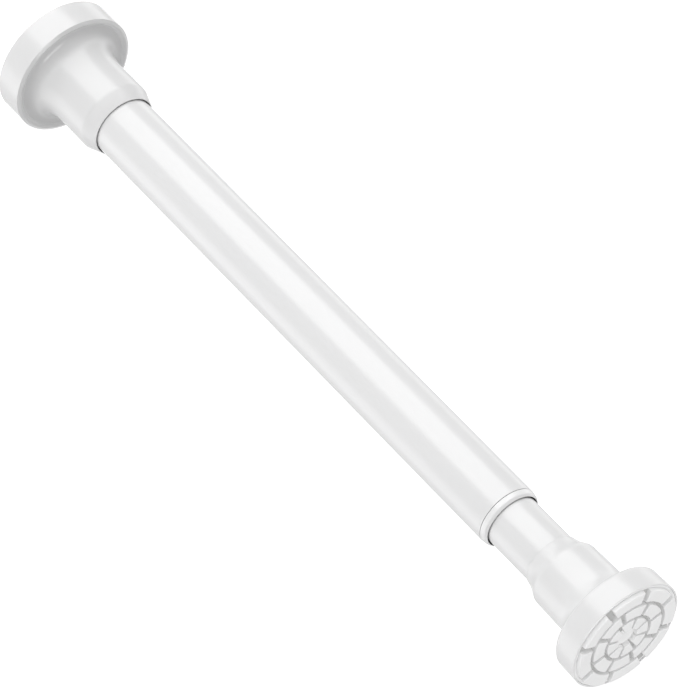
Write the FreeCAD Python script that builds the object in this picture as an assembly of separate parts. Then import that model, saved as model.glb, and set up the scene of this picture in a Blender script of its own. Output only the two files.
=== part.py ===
import FreeCAD, Part
import math
import os

# Spring tension rod, standing on its larger foot. Millimetres, Z along the rod.
# The origin is the centre of the lower foot's rubber face.

# Whole rod when closed, from rubber face to rubber face
CLOSED_LENGTH = 391.5

# Tubes. The inner one stands clear of the outer one's bore by the telescope gap.
OUTER_TUBE_OD = 28.0
OUTER_TUBE_WALL = 0.8
TELESCOPE_GAP = 1.2
INNER_TUBE_WALL = 0.8
INNER_TUBE_SHOWN = 24.5
CRIMP_DEPTH = 0.6
CRIMP_WIDTH = 2.6

# Clearances, radial unless said otherwise
SEAT_CLEARANCE = 0.05
RUNNING_CLEARANCE = 0.09
THREAD_CLEARANCE = 0.05
SLOT_CLEARANCE = 0.3
CONE_CLEARANCE = 0.27
SLEEVE_CLEARANCE = 0.25
AXIAL_GAP = 0.3
CUT_OVERRUN = 1.0

# Lower foot, moulded in one piece. The flange's back edge is smaller than its rim by the draft,
# and its back dips into a dish inside a narrow lip.
BASE_LENGTH = 51.4
BASE_RIM_OD = 58.5
BASE_FLANGE_DRAFT = 0.15
BASE_FLANGE_DEPTH = 13.6
BASE_EDGE_CHAMFER = 0.3
BASE_LIP_WIDTH = 2.0
BASE_DISH_DROP = 0.8
BASE_NECK_OD = 34.6
BASE_NECK_START = 29.4
BASE_CHAMFER_LENGTH = 6.9
BASE_MOUTH_WALL = 0.75

# Upper foot, moulded in one piece
TOP_LENGTH = 46.3
TOP_RIM_OD = 52.4
TOP_FLANGE_DRAFT = 0.2
TOP_FLANGE_DEPTH = 11.3
TOP_EDGE_ROUND = 3.0
TOP_NECK_OD = 32.2
TOP_NECK_START = 21.7
TOP_NECK_TAPER = 0.4
TOP_CONE_START = 38.0
TOP_CONE_HOLLOW = 0.45
TOP_MOUTH_WALL = 0.5

# Both feet
RIM_LAND = 0.8
FLANGE_WALL = 3.4
FLANGE_BACK_WALL = 2.6
RIB_COUNT = 8
RIB_THICKNESS = 2.0
CAP_FLOOR = 6.5
PAD_SEAT_DEPTH = 2.0
MOUTH_RELIEF = 0.3
MOUTH_RELIEF_DEPTH = 1.2

# Rubber faces. Each ring of blocks is turned by its own angle.
PAD_DISC_THICKNESS = 1.5
PAD_PROUD = 1.5
PAD_EDGE_GROOVE = 1.1
RING_TURNS = (3.0, 16.0, 4.0)
RING_GROOVE = 1.15
BLOCKS_PER_RING = 8
BLOCK_GAP = 1.6
PAD_CENTRE_SHARE = 0.184

# Foot screws, washers and the plugs that take them
SCREW_SHANK = 3.5
SCREW_LENGTH = 14.0
SCREW_HEAD_OD = 7.0
SCREW_HEAD_HEIGHT = 2.3
SCREW_HEAD_CROWN = 1.0
SCREW_CROSS_WIDTH = 0.9
SCREW_CROSS_SPAN = 3.6
SCREW_CROSS_DEPTH = 1.1
SCREW_CROSS_ARMS = 4
WASHER_OD = 9.5
WASHER_THICKNESS = 0.8
HEAD_POCKET_CLEARANCE = 0.4
PLUG_LENGTH = 14.0
PLUG_WALL = 1.8
PLUG_FLOOR = 4.0
PLUG_BOSS_OD = 8.5
PLUG_RIBS = 4
PLUG_RIB_THICKNESS = 1.4

# Collar at the mouth of the outer tube, tapered to its front chamfer
COLLAR_LENGTH = 3.5
COLLAR_OD = 27.9
COLLAR_TAPER_OD = 27.2
COLLAR_FRONT_OD = 25.6
COLLAR_CHAMFER = 1.1
COLLAR_MOUTH_OD = 25.0
COLLAR_MOUTH_DEPTH = 1.6
COLLAR_SPIGOT = 12.0

# Locking screw, nut and sleeve
SPINDLE_END_GAP = 2.0
THREAD_OD = 8.0
THREAD_PITCH = 1.25
STOP_NUT_FLATS = 13.0
STOP_NUT_HEIGHT = 4.0
WEDGE_FLANGE_OD = 24.0
WEDGE_FLANGE_HEIGHT = 2.1
WEDGE_CONE_OD = 21.0
WEDGE_CONE_LENGTH = 15.9
WEDGE_HALF_ANGLE = 10.0
WEDGE_RIB_WIDTH = 2.4
WEDGE_RIB_HEIGHT = 11.6
WEDGE_RIB_OD = 24.4
SLEEVE_FINGERS = 4
SLEEVE_FINGER_GAP = 1.6
SLEEVE_LENGTH = 28.0
SLEEVE_RING = 8.0
SLEEVE_SLOT_TOP = 2.0
GRIP_GROOVES = 5
GRIP_GROOVE_WIDTH = 1.4
GRIP_GROOVE_DEPTH = 0.4
GRIP_GROOVE_PITCH = 3.4
THRUST_WASHER_OD = 15.0
THRUST_WASHER_THICKNESS = 1.0
SHOULDER_OD = 14.0
SHOULDER_HEIGHT = 2.0
HEX_FLATS = 8.0
HEX_SIDES = 6

# Spring, its seats and the bush that turns the locking screw.
# The wire has flats in place of a round section, to keep the model light.
SPRING_TRAVEL = 20.0
TRAVEL_END_GAP = 2.0
SPRING_WIRE = 2.0
SPRING_WIRE_FLATS = 6
SPRING_MEAN_OD = 17.0
SPRING_LENGTH = 109.0
SPRING_ACTIVE_TURNS = 8
SPRING_DEAD_TURNS = 1
SPRING_POINTS_PER_TURN = 8
BUSH_FLANGE_HEIGHT = 3.0
BUSH_SPIGOT = 14.0
PLUNGER_FLANGE = 3.0
PLUNGER_BOSS = 5.0
PLUNGER_CLEARANCE = 0.3
SPRING_SEAT_CLEARANCE = 0.2
HEAD_SCREW_SHANK = 4.0
HEAD_SCREW_LENGTH = 14.0
HEAD_SCREW_HEAD_OD = 7.0
HEAD_SCREW_HEAD_HEIGHT = 2.4
HEAD_SCREW_FLATS = 2.5
HEAD_SCREW_SOCKET_DEPTH = 1.4
SPRING_STOP_LENGTH = 14.0
SPRING_STOP_BOSS = 5.0
SPRING_STOP_FLOOR = 5.0
SPRING_STOP_WALL = 1.8

# Radii
outer_r = OUTER_TUBE_OD / 2
outer_bore = outer_r - OUTER_TUBE_WALL
inner_r = outer_bore - TELESCOPE_GAP
inner_bore = inner_r - INNER_TUBE_WALL
spring_inside = SPRING_MEAN_OD / 2 - SPRING_WIRE / 2
seat_boss_r = spring_inside - SPRING_SEAT_CLEARANCE

# Heights up the rod
base_rim = PAD_PROUD
base_recess = base_rim + PAD_SEAT_DEPTH
base_floor = base_recess + CAP_FLOOR
top_face = CLOSED_LENGTH
top_rim = top_face - PAD_PROUD
top_recess = top_rim - PAD_SEAT_DEPTH
top_floor = top_recess - CAP_FLOOR
top_mouth = top_rim - TOP_LENGTH
collar_front = top_mouth - INNER_TUBE_SHOWN
collar_seat = collar_front - COLLAR_LENGTH

spindle_end = base_floor + PLUG_LENGTH + SPINDLE_END_GAP
stop_nut_top = spindle_end + STOP_NUT_HEIGHT
wedge_bottom = stop_nut_top + AXIAL_GAP
wedge_cone_bottom = wedge_bottom + WEDGE_FLANGE_HEIGHT
wedge_top = wedge_cone_bottom + WEDGE_CONE_LENGTH
sleeve_bottom = wedge_cone_bottom + THREAD_PITCH + AXIAL_GAP
sleeve_top = sleeve_bottom + SLEEVE_LENGTH
shoulder_bottom = sleeve_top + THRUST_WASHER_THICKNESS
shoulder_top = shoulder_bottom + SHOULDER_HEIGHT
bush_bottom = shoulder_top + SPRING_TRAVEL + TRAVEL_END_GAP
inner_tube_bottom = bush_bottom + BUSH_FLANGE_HEIGHT
bush_top = inner_tube_bottom + BUSH_SPIGOT
bush_crimp = inner_tube_bottom + BUSH_SPIGOT / 2
plunger_seat = bush_top + PLUNGER_FLANGE
plunger_top = plunger_seat + PLUNGER_BOSS
head_screw_seat = plunger_top - HEAD_SCREW_HEAD_HEIGHT
spring_top = plunger_seat + SPRING_LENGTH
spring_stop_top = spring_top + SPRING_STOP_LENGTH
spring_stop_crimp = spring_top + SPRING_STOP_LENGTH / 2

wedge_slope = math.tan(math.radians(WEDGE_HALF_ANGLE))
diagonal = math.sqrt(0.5)


def at(radius, height):
    return FreeCAD.Vector(radius, 0, height)


def line(start, end):
    return Part.LineSegment(at(*start), at(*end)).toShape()


def lines(points):
    """Straight edges from each point to the next."""
    return [line(start, end) for start, end in zip(points, points[1:])]


def arc(start, middle, end):
    return Part.Arc(at(*start), at(*middle), at(*end)).toShape()


def hollow_arc(start, end, hollow):
    """Shallow arc between two points whose middle is drawn towards the axis."""
    middle = ((start[0] + end[0]) / 2 - hollow, (start[1] + end[1]) / 2)
    return arc(start, middle, end)


def quarter(centre, start, end):
    """Quarter of an ellipse from start to end, bulging away from the centre."""
    along = [start[i] + end[i] - centre[i] for i in (0, 1)]
    poles = [at(*start), at(*along), at(*end)]
    weights = [1.0, diagonal, 1.0]
    conic = Part.BSplineCurve()
    conic.buildFromPolesMultsKnots(poles, [3, 3], [0.0, 1.0], False, 2, weights)
    return conic.toShape()


def turned(edges):
    """Solid of revolution about Z from a closed chain of edges."""
    return Part.Face(Part.Wire(edges)).revolve(at(0, 0), FreeCAD.Vector(0, 0, 1), 360)


def turned_outline(points):
    """Solid of revolution from straight runs between (radius, height) points."""
    return turned(lines(points + points[:1]))


def rod(radius, low, high):
    return Part.makeCylinder(radius, high - low, at(0, low))


def ring(outer, inner, low, high):
    return rod(outer, low, high).cut(rod(inner, low, high))


def hexagon_corner(flats):
    """Radius to the corners of a hexagon of a size across its flats."""
    return flats / 2 / math.cos(math.pi / HEX_SIDES)


def hexagon(flats, low, high):
    """Hexagonal prism with two corners on X."""
    corner = hexagon_corner(flats)
    angles = [2 * math.pi * k / HEX_SIDES for k in range(HEX_SIDES + 1)]
    points = [FreeCAD.Vector(corner * math.cos(a), corner * math.sin(a), low) for a in angles]
    return Part.Face(Part.makePolygon(points)).extrude(FreeCAD.Vector(0, 0, high - low))


def spoke(width, outer, low, high, degrees):
    """Radial bar from the axis to a radius, turned about Z."""
    bar = Part.makeBox(outer, width, high - low, FreeCAD.Vector(0, -width / 2, low))
    return bar.rotate(at(0, 0), FreeCAD.Vector(0, 0, 1), degrees)


def spokes(width, outer, low, high, count, turn=0.0):
    return [spoke(width, outer, low, high, turn + 360.0 * k / count) for k in range(count)]


def flipped(shape):
    """The shape upside down, for the pieces of the upper end."""
    return shape.rotate(at(0, 0), FreeCAD.Vector(1, 0, 0), 180)


def lifted(shape, height):
    return shape.translate(at(0, height))


def flare(start, end):
    """Hollow curve that leaves the flange's back square to the axis and meets the neck along it."""
    return quarter((start[0], end[1]), start, end)


def cored_pockets(hub_r, rim_r, flange_depth, neck_start):
    """Pockets behind the rubber face, between radial ribs, sloped to follow the flare."""
    outer = rim_r - FLANGE_WALL
    deep = flange_depth - FLANGE_BACK_WALL
    hub_deep = deep + (neck_start - flange_depth) * (1 - diagonal)
    pocket = turned_outline([(hub_r, PAD_SEAT_DEPTH), (hub_r, hub_deep), (outer, deep),
                             (outer, PAD_SEAT_DEPTH)])
    return pocket.cut(spokes(RIB_THICKNESS, rim_r, PAD_SEAT_DEPTH, hub_deep + CUT_OVERRUN, RIB_COUNT))


def tube_socket(tube_r, length):
    """Bore for the tube with a small relief at its mouth."""
    bore = tube_r + SEAT_CLEARANCE
    floor_top = PAD_SEAT_DEPTH + CAP_FLOOR
    return turned_outline([(0, floor_top), (bore, floor_top), (bore, length - MOUTH_RELIEF_DEPTH),
                           (bore + MOUTH_RELIEF, length), (0, length)])


def screw_seat():
    """Pocket for the screw's head and washer, and the hole for its shank."""
    washer_seat = PAD_SEAT_DEPTH + HEAD_POCKET_CLEARANCE + SCREW_HEAD_HEIGHT + WASHER_THICKNESS
    head_pocket = rod(WASHER_OD / 2 + HEAD_POCKET_CLEARANCE, PAD_SEAT_DEPTH, washer_seat)
    hole = rod(SCREW_SHANK / 2 + SEAT_CLEARANCE, washer_seat, PAD_SEAT_DEPTH + CAP_FLOOR)
    return head_pocket.fuse(hole)


def base_cap():
    rim_r = BASE_RIM_OD / 2
    neck_r = BASE_NECK_OD / 2
    back_r = rim_r - BASE_FLANGE_DRAFT
    edge_r = back_r - BASE_EDGE_CHAMFER
    lip_r = edge_r - BASE_LIP_WIDTH
    dish = (lip_r - BASE_DISH_DROP, BASE_FLANGE_DEPTH - BASE_DISH_DROP)
    neck = (neck_r, BASE_NECK_START)
    edges = lines([(0, 0), (rim_r, 0), (back_r, BASE_FLANGE_DEPTH - BASE_EDGE_CHAMFER),
                   (edge_r, BASE_FLANGE_DEPTH), (lip_r, BASE_FLANGE_DEPTH), dish])
    edges.append(flare(dish, neck))
    edges += lines([neck, (neck_r, BASE_LENGTH - BASE_CHAMFER_LENGTH), (outer_r + BASE_MOUTH_WALL, BASE_LENGTH),
                    (0, BASE_LENGTH), (0, 0)])
    recess = rod(rim_r - RIM_LAND, 0, PAD_SEAT_DEPTH)
    pockets = cored_pockets(neck_r, rim_r, dish[1], BASE_NECK_START)
    cap = turned(edges).cut([recess, pockets, tube_socket(outer_r, BASE_LENGTH), screw_seat()])
    return lifted(cap, base_rim)


def top_cap():
    rim_r = TOP_RIM_OD / 2
    neck_r = TOP_NECK_OD / 2
    back_r = rim_r - TOP_FLANGE_DRAFT
    centre = (back_r - TOP_EDGE_ROUND, TOP_FLANGE_DEPTH - TOP_EDGE_ROUND)
    round_middle = tuple(place + TOP_EDGE_ROUND * diagonal for place in centre)
    round_end = (centre[0], TOP_FLANGE_DEPTH)
    neck = (neck_r, TOP_NECK_START)
    shoulder = (neck_r - TOP_NECK_TAPER, TOP_CONE_START)
    mouth = (inner_r + TOP_MOUTH_WALL, TOP_LENGTH)
    edges = lines([(0, 0), (rim_r, 0), (back_r, centre[1])])
    edges += [arc((back_r, centre[1]), round_middle, round_end), flare(round_end, neck)]
    edges += [line(neck, shoulder), hollow_arc(shoulder, mouth, TOP_CONE_HOLLOW)]
    edges += lines([mouth, (0, TOP_LENGTH), (0, 0)])
    recess = rod(rim_r - RIM_LAND, 0, PAD_SEAT_DEPTH)
    pockets = cored_pockets(neck_r, rim_r, TOP_FLANGE_DEPTH, TOP_NECK_START)
    cap = turned(edges).cut([recess, pockets, tube_socket(inner_r, TOP_LENGTH), screw_seat()])
    return lifted(flipped(cap), top_rim)


def pad_block(inner, outer, low, high, middle_degrees):
    """One raised sector of a ring, its end faces parallel to the spoke of the gap beside it."""
    sector = ring(outer, inner, low, high)
    half = 180.0 / BLOCKS_PER_RING
    for side in (-1, 1):
        keep = Part.makeBox(2 * outer, 2 * outer, high - low, FreeCAD.Vector(-outer, 0, low))
        if side > 0:
            keep = keep.translate(FreeCAD.Vector(0, -2 * outer, 0))
        keep = keep.translate(FreeCAD.Vector(0, -side * BLOCK_GAP / 2, 0))
        keep = keep.rotate(at(0, 0), FreeCAD.Vector(0, 0, 1), side * half)
        sector = sector.common(keep)
    return sector.rotate(at(0, 0), FreeCAD.Vector(0, 0, 1), middle_degrees)


def foot_pad(recess_r):
    """Rubber face with its blocks standing below a disc, block faces at height 0."""
    face_r = recess_r - PAD_EDGE_GROOVE
    centre_r = face_r * PAD_CENTRE_SHARE
    block_height = PAD_PROUD + PAD_SEAT_DEPTH - PAD_DISC_THICKNESS
    ring_count = len(RING_TURNS)
    width = (face_r - centre_r - RING_GROOVE * (ring_count - 1)) / ring_count
    block_angle = 360.0 / BLOCKS_PER_RING
    blocks = []
    for number, ring_turn in enumerate(RING_TURNS):
        inner = centre_r + number * (width + RING_GROOVE)
        for place in range(BLOCKS_PER_RING):
            middle = ring_turn + block_angle / 2 + block_angle * place
            blocks.append(pad_block(inner, inner + width, 0, block_height, middle))
    disc = rod(recess_r - SEAT_CLEARANCE, block_height, block_height + PAD_DISC_THICKNESS)
    return disc.fuse(blocks).removeSplitter()


def base_pad():
    return foot_pad(BASE_RIM_OD / 2 - RIM_LAND)


def top_pad():
    return lifted(flipped(foot_pad(TOP_RIM_OD / 2 - RIM_LAND)), top_face)


def foot_screw():
    """Pan-head screw going up from the bottom of its pocket, which is at height 0."""
    head_r = SCREW_HEAD_OD / 2
    shank_r = SCREW_SHANK / 2
    tip_r = shank_r / 2
    crown = HEAD_POCKET_CLEARANCE
    seat = crown + SCREW_HEAD_HEIGHT
    end = seat + SCREW_LENGTH
    blank = turned_outline([(0, crown), (head_r - SCREW_HEAD_CROWN, crown), (head_r, crown + SCREW_HEAD_CROWN),
                            (head_r, seat), (shank_r, seat), (shank_r, end - tip_r), (tip_r, end), (0, end)])
    cross = spokes(SCREW_CROSS_WIDTH, SCREW_CROSS_SPAN / 2, crown, crown + SCREW_CROSS_DEPTH,
                   SCREW_CROSS_ARMS)
    return blank.cut(cross)


def foot_washer():
    """Washer under the screw's head, with the bottom of its pocket at height 0."""
    low = HEAD_POCKET_CLEARANCE + SCREW_HEAD_HEIGHT
    return ring(WASHER_OD / 2, SCREW_SHANK / 2 + SEAT_CLEARANCE, low, low + WASHER_THICKNESS)


def base_screw():
    return lifted(foot_screw(), base_recess)


def base_washer():
    return lifted(foot_washer(), base_recess)


def top_screw():
    return lifted(flipped(foot_screw()), top_recess)


def top_washer():
    return lifted(flipped(foot_washer()), top_recess)


def tube_plug(bore):
    """Moulded plug with its closed end at height 0, a screw boss, and ribs to its wall."""
    outside = bore - SEAT_CLEARANCE
    inside = outside - PLUG_WALL
    well = ring(inside, PLUG_BOSS_OD / 2, PLUG_FLOOR, PLUG_LENGTH)
    well = well.cut(spokes(PLUG_RIB_THICKNESS, inside, PLUG_FLOOR, PLUG_LENGTH, PLUG_RIBS))
    pilot = rod(SCREW_SHANK / 2 + SEAT_CLEARANCE, 0, PLUG_LENGTH)
    return rod(outside, 0, PLUG_LENGTH).cut([well, pilot])


def base_plug():
    return lifted(tube_plug(outer_bore), base_floor)


def top_plug():
    return lifted(flipped(tube_plug(inner_bore)), top_floor)


def outer_tube():
    return ring(outer_r, outer_bore, base_floor, collar_seat)


def crimp(radius, height):
    """Points of a rolled groove up a wall at the radius."""
    half = CRIMP_WIDTH / 2
    return [(radius, height - half), (radius - CRIMP_DEPTH, height), (radius, height + half)]


def inner_tube():
    """Tube whose wall is rolled inwards round the bush and round the spring's upper seat."""
    crimps = (bush_crimp, spring_stop_crimp)
    outside = [point for height in crimps for point in crimp(inner_r, height)]
    inside = [point for height in crimps for point in crimp(inner_bore, height)]
    top = [(inner_r, top_floor), (inner_bore, top_floor)]
    return turned_outline([(inner_r, inner_tube_bottom)] + outside + top + inside[::-1]
                          + [(inner_bore, inner_tube_bottom)])


def tube_collar():
    """Flanged bush in the mouth of the outer tube, which guides the inner one."""
    spigot_r = outer_bore - SEAT_CLEARANCE
    bore = inner_r + RUNNING_CLEARANCE
    mouth_r = COLLAR_MOUTH_OD / 2
    mouth_floor = collar_front - COLLAR_MOUTH_DEPTH
    spigot_end = collar_seat - COLLAR_SPIGOT
    return turned_outline([(bore, spigot_end), (spigot_r, spigot_end), (spigot_r, collar_seat),
                           (COLLAR_OD / 2, collar_seat), (COLLAR_TAPER_OD / 2, collar_front - COLLAR_CHAMFER),
                           (COLLAR_FRONT_OD / 2, collar_front), (mouth_r, collar_front),
                           (mouth_r, mouth_floor), (bore, mouth_floor)])


def stop_nut():
    """Hexagon nut with both faces chamfered."""
    blank = hexagon(STOP_NUT_FLATS, spindle_end, stop_nut_top)
    flat_r = STOP_NUT_FLATS / 2
    corner_r = hexagon_corner(STOP_NUT_FLATS)
    drop = (corner_r - flat_r) / 2
    barrel = turned_outline([(0, spindle_end), (flat_r, spindle_end), (corner_r, spindle_end + drop),
                             (corner_r, stop_nut_top - drop), (flat_r, stop_nut_top), (0, stop_nut_top)])
    return blank.common(barrel).cut(rod(THREAD_OD / 2 + THREAD_CLEARANCE, spindle_end, stop_nut_top))


def wedge_nut():
    """Cone that the locking screw draws into the sleeve, keyed by its ribs."""
    cone_r = WEDGE_CONE_OD / 2
    flange_r = WEDGE_FLANGE_OD / 2
    tip_r = cone_r - WEDGE_CONE_LENGTH * wedge_slope
    body = turned_outline([(0, wedge_bottom), (flange_r, wedge_bottom), (flange_r, wedge_cone_bottom),
                           (cone_r, wedge_cone_bottom), (tip_r, wedge_top), (0, wedge_top)])
    ribs = spokes(WEDGE_RIB_WIDTH, WEDGE_RIB_OD / 2, wedge_cone_bottom,
                  wedge_cone_bottom + WEDGE_RIB_HEIGHT, SLEEVE_FINGERS, 180.0 / SLEEVE_FINGERS)
    thread = rod(THREAD_OD / 2 + THREAD_CLEARANCE, wedge_bottom, wedge_top)
    return body.fuse(ribs).cut(thread)


def expander_sleeve():
    """Split sleeve that grips the bore of the outer tube when the cone spreads its fingers."""
    outside = outer_bore - SLEEVE_CLEARANCE
    seat_drop = (sleeve_bottom - wedge_cone_bottom) * wedge_slope
    mouth_r = WEDGE_CONE_OD / 2 - seat_drop + CONE_CLEARANCE
    cone_top = wedge_top + THREAD_PITCH + AXIAL_GAP
    throat_r = mouth_r - (cone_top - sleeve_bottom) * wedge_slope
    ring_bottom = sleeve_top - SLEEVE_RING
    slot_top = ring_bottom - SLEEVE_SLOT_TOP
    cone = turned_outline([(0, sleeve_bottom), (mouth_r, sleeve_bottom), (throat_r, cone_top),
                           (throat_r, ring_bottom), (0, ring_bottom)])
    bore = rod(THREAD_OD / 2 + SLEEVE_CLEARANCE, ring_bottom, sleeve_top)
    key_slots = spokes(WEDGE_RIB_WIDTH + 2 * SLOT_CLEARANCE, outer_bore, sleeve_bottom, slot_top,
                       SLEEVE_FINGERS, 180.0 / SLEEVE_FINGERS)
    finger_slots = spokes(SLEEVE_FINGER_GAP, outer_bore, sleeve_bottom, slot_top, SLEEVE_FINGERS)
    groove_lows = [sleeve_bottom + GRIP_GROOVE_PITCH * (k + 1) for k in range(GRIP_GROOVES)]
    grooves = [ring(outside + CUT_OVERRUN, outside - GRIP_GROOVE_DEPTH, low, low + GRIP_GROOVE_WIDTH)
               for low in groove_lows]
    return rod(outside, sleeve_bottom, sleeve_top).cut([cone, bore] + key_slots + finger_slots + grooves)


def thrust_washer():
    return ring(THRUST_WASHER_OD / 2, THREAD_OD / 2 + SLEEVE_CLEARANCE, sleeve_top, shoulder_bottom)


def spindle():
    """Locking screw: threaded end, shoulder, and the hexagon that the bush slides on."""
    thread = rod(THREAD_OD / 2, spindle_end, shoulder_bottom)
    shoulder = rod(SHOULDER_OD / 2, shoulder_bottom, shoulder_top)
    bar = hexagon(HEX_FLATS, shoulder_top, bush_top)
    tapped = rod(HEAD_SCREW_SHANK / 2 + THREAD_CLEARANCE, bush_top - HEAD_SCREW_LENGTH, bush_top)
    return thread.fuse([shoulder, bar]).cut(tapped)


def guide_bush():
    """Bush crimped into the end of the inner tube, which turns the hexagon and runs in the outer tube."""
    flange_r = outer_bore - RUNNING_CLEARANCE
    spigot_r = inner_bore - SEAT_CLEARANCE
    body = turned_outline([(0, bush_bottom), (flange_r, bush_bottom), (flange_r, inner_tube_bottom),
                           (spigot_r, inner_tube_bottom)] + crimp(spigot_r, bush_crimp)
                          + [(spigot_r, bush_top), (0, bush_top)])
    return body.cut(hexagon(HEX_FLATS + 2 * RUNNING_CLEARANCE, bush_bottom, bush_top))


def plunger_head():
    """Spring seat on the end of the hexagon, held by its screw."""
    flange_r = inner_bore - PLUNGER_CLEARANCE
    body = turned_outline([(0, bush_top), (flange_r, bush_top), (flange_r, plunger_seat),
                           (seat_boss_r, plunger_seat), (seat_boss_r, plunger_top), (0, plunger_top)])
    head_pocket = rod(HEAD_SCREW_HEAD_OD / 2 + SEAT_CLEARANCE, head_screw_seat, plunger_top)
    hole = rod(HEAD_SCREW_SHANK / 2 + THREAD_CLEARANCE, bush_top, plunger_top)
    return body.cut([head_pocket, hole])


def head_screw():
    """Socket screw that holds the spring seat on the hexagon."""
    shank_end = bush_top - HEAD_SCREW_LENGTH + AXIAL_GAP
    head = rod(HEAD_SCREW_HEAD_OD / 2, head_screw_seat, plunger_top)
    socket = hexagon(HEAD_SCREW_FLATS, plunger_top - HEAD_SCREW_SOCKET_DEPTH, plunger_top)
    return head.fuse(rod(HEAD_SCREW_SHANK / 2, shank_end, head_screw_seat)).cut(socket)


def spring_height(turn):
    """Height of the wire's centre above the lower seat after so many turns: closed, open, closed."""
    dead_rise = SPRING_WIRE * SPRING_DEAD_TURNS
    total = SPRING_ACTIVE_TURNS + 2 * SPRING_DEAD_TURNS
    open_rise = SPRING_LENGTH - SPRING_WIRE - 2 * SEAT_CLEARANCE - 2 * dead_rise
    start = SPRING_WIRE / 2 + SEAT_CLEARANCE
    if turn <= SPRING_DEAD_TURNS:
        return start + SPRING_WIRE * turn
    if turn >= total - SPRING_DEAD_TURNS:
        return start + dead_rise + open_rise + SPRING_WIRE * (turn - total + SPRING_DEAD_TURNS)
    return start + dead_rise + open_rise * (turn - SPRING_DEAD_TURNS) / SPRING_ACTIVE_TURNS


def wire_section(centre, along):
    """Closed polygon of the wire's own area, square to it, with a flat towards each spring seat."""
    outwards = FreeCAD.Vector(1, 0, 0)
    upwards = outwards.cross(along).normalize()
    step = 2 * math.pi / SPRING_WIRE_FLATS
    corner_r = SPRING_WIRE / 2 * math.sqrt(step / math.sin(step))
    angles = [math.pi / 2 + step * (k + 0.5) for k in range(SPRING_WIRE_FLATS + 1)]
    return Part.makePolygon([centre + outwards * (corner_r * math.cos(a)) + upwards * (corner_r * math.sin(a))
                             for a in angles])


def tension_spring():
    radius = SPRING_MEAN_OD / 2
    total = SPRING_ACTIVE_TURNS + 2 * SPRING_DEAD_TURNS
    points = []
    for step in range(total * SPRING_POINTS_PER_TURN + 1):
        turn = step / SPRING_POINTS_PER_TURN
        angle = 2 * math.pi * turn
        height = plunger_seat + spring_height(turn)
        points.append(FreeCAD.Vector(radius * math.cos(angle), radius * math.sin(angle), height))
    path = Part.BSplineCurve()
    path.interpolate(points)
    along = path.tangent(path.FirstParameter)[0]
    along.x = 0
    section = wire_section(points[0], along.normalize())
    return Part.Wire([path.toShape()]).makePipeShell([section], True, True)


def spring_stop():
    """Upper spring seat, crimped inside the inner tube and open above."""
    outside = inner_bore - SEAT_CLEARANCE
    well_r = outside - SPRING_STOP_WALL - CRIMP_DEPTH
    boss_bottom = spring_top - SPRING_STOP_BOSS
    well_floor = spring_top + SPRING_STOP_FLOOR
    return turned_outline([(0, boss_bottom), (seat_boss_r, boss_bottom), (seat_boss_r, spring_top),
                           (outside, spring_top)] + crimp(outside, spring_stop_crimp)
                          + [(outside, spring_stop_top), (well_r, spring_stop_top), (well_r, well_floor),
                             (0, well_floor)])


PIECES = (base_pad, base_cap, base_screw, base_washer, base_plug, outer_tube, tube_collar,
          expander_sleeve, wedge_nut, spindle, thrust_washer, stop_nut, plunger_head, head_screw,
          tension_spring, inner_tube, guide_bush, spring_stop, top_plug, top_screw, top_washer,
          top_cap, top_pad)


def main():
    os.makedirs("parts", exist_ok=True)
    for piece in PIECES:
        shape = piece()
        solids = shape.Solids
        result = solids[0] if len(solids) == 1 else shape
        result.exportStep("parts/" + piece.__name__ + ".step")
        box = result.BoundBox
        print(piece.__name__, len(solids), result.isValid(), round(result.Volume, 1),
              round(box.ZMin, 2), round(box.ZMax, 2), round(box.XMax, 2))


main()
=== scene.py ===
import logging
import math
from dataclasses import dataclass, field
from enum import Enum

import bmesh
import bpy
from mathutils import Matrix, Vector


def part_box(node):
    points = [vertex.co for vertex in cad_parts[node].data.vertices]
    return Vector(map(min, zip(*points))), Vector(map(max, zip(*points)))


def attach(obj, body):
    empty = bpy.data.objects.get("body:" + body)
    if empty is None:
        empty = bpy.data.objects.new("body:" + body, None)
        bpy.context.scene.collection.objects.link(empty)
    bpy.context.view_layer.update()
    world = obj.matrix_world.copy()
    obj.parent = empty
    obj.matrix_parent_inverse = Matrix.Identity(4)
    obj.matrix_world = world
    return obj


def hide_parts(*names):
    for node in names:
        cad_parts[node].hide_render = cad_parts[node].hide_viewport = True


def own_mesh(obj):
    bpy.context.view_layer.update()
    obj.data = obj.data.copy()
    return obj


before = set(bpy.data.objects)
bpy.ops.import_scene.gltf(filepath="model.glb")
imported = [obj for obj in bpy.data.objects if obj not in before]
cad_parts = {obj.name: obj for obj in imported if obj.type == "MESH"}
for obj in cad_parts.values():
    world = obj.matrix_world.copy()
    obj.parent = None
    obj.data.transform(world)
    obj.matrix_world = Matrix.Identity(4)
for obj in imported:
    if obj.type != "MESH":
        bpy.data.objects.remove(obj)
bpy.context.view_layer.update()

# A white spring tension rod that stands on its larger foot. Sizes are millimetres until a
# mesh is made, heights run up the rod from the floor, and every solid of revolution is
# turned about the rod's axis. Parts of one piece reach into each other by OVERLAP. A round
# takes at most ROUND_SHARE of the sides beside it, a point nearer than ON_AXIS counts as on
# the axis, and noise is spread from its usual span, NOISE_SPAN.

MM = 0.001
OVERLAP = 0.2
FULL_TURN = 2 * math.pi
TURNED_SEGMENTS = 144
SMALL_SEGMENTS = 48
HEX_SIDES = 6
SMOOTH_BELOW_DEGREES = 32.0
ROUND_SHARE = 0.49
ON_AXIS = 1e-6
NOISE_SPAN = (0.3, 0.7)
COAT_IOR = 1.5
LOG = logging.getLogger("tension_rod")

Point = tuple[float, float]
Triple = tuple[float, float, float]
Piece = bpy.types.Object
Socket = bpy.types.NodeSocket


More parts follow.
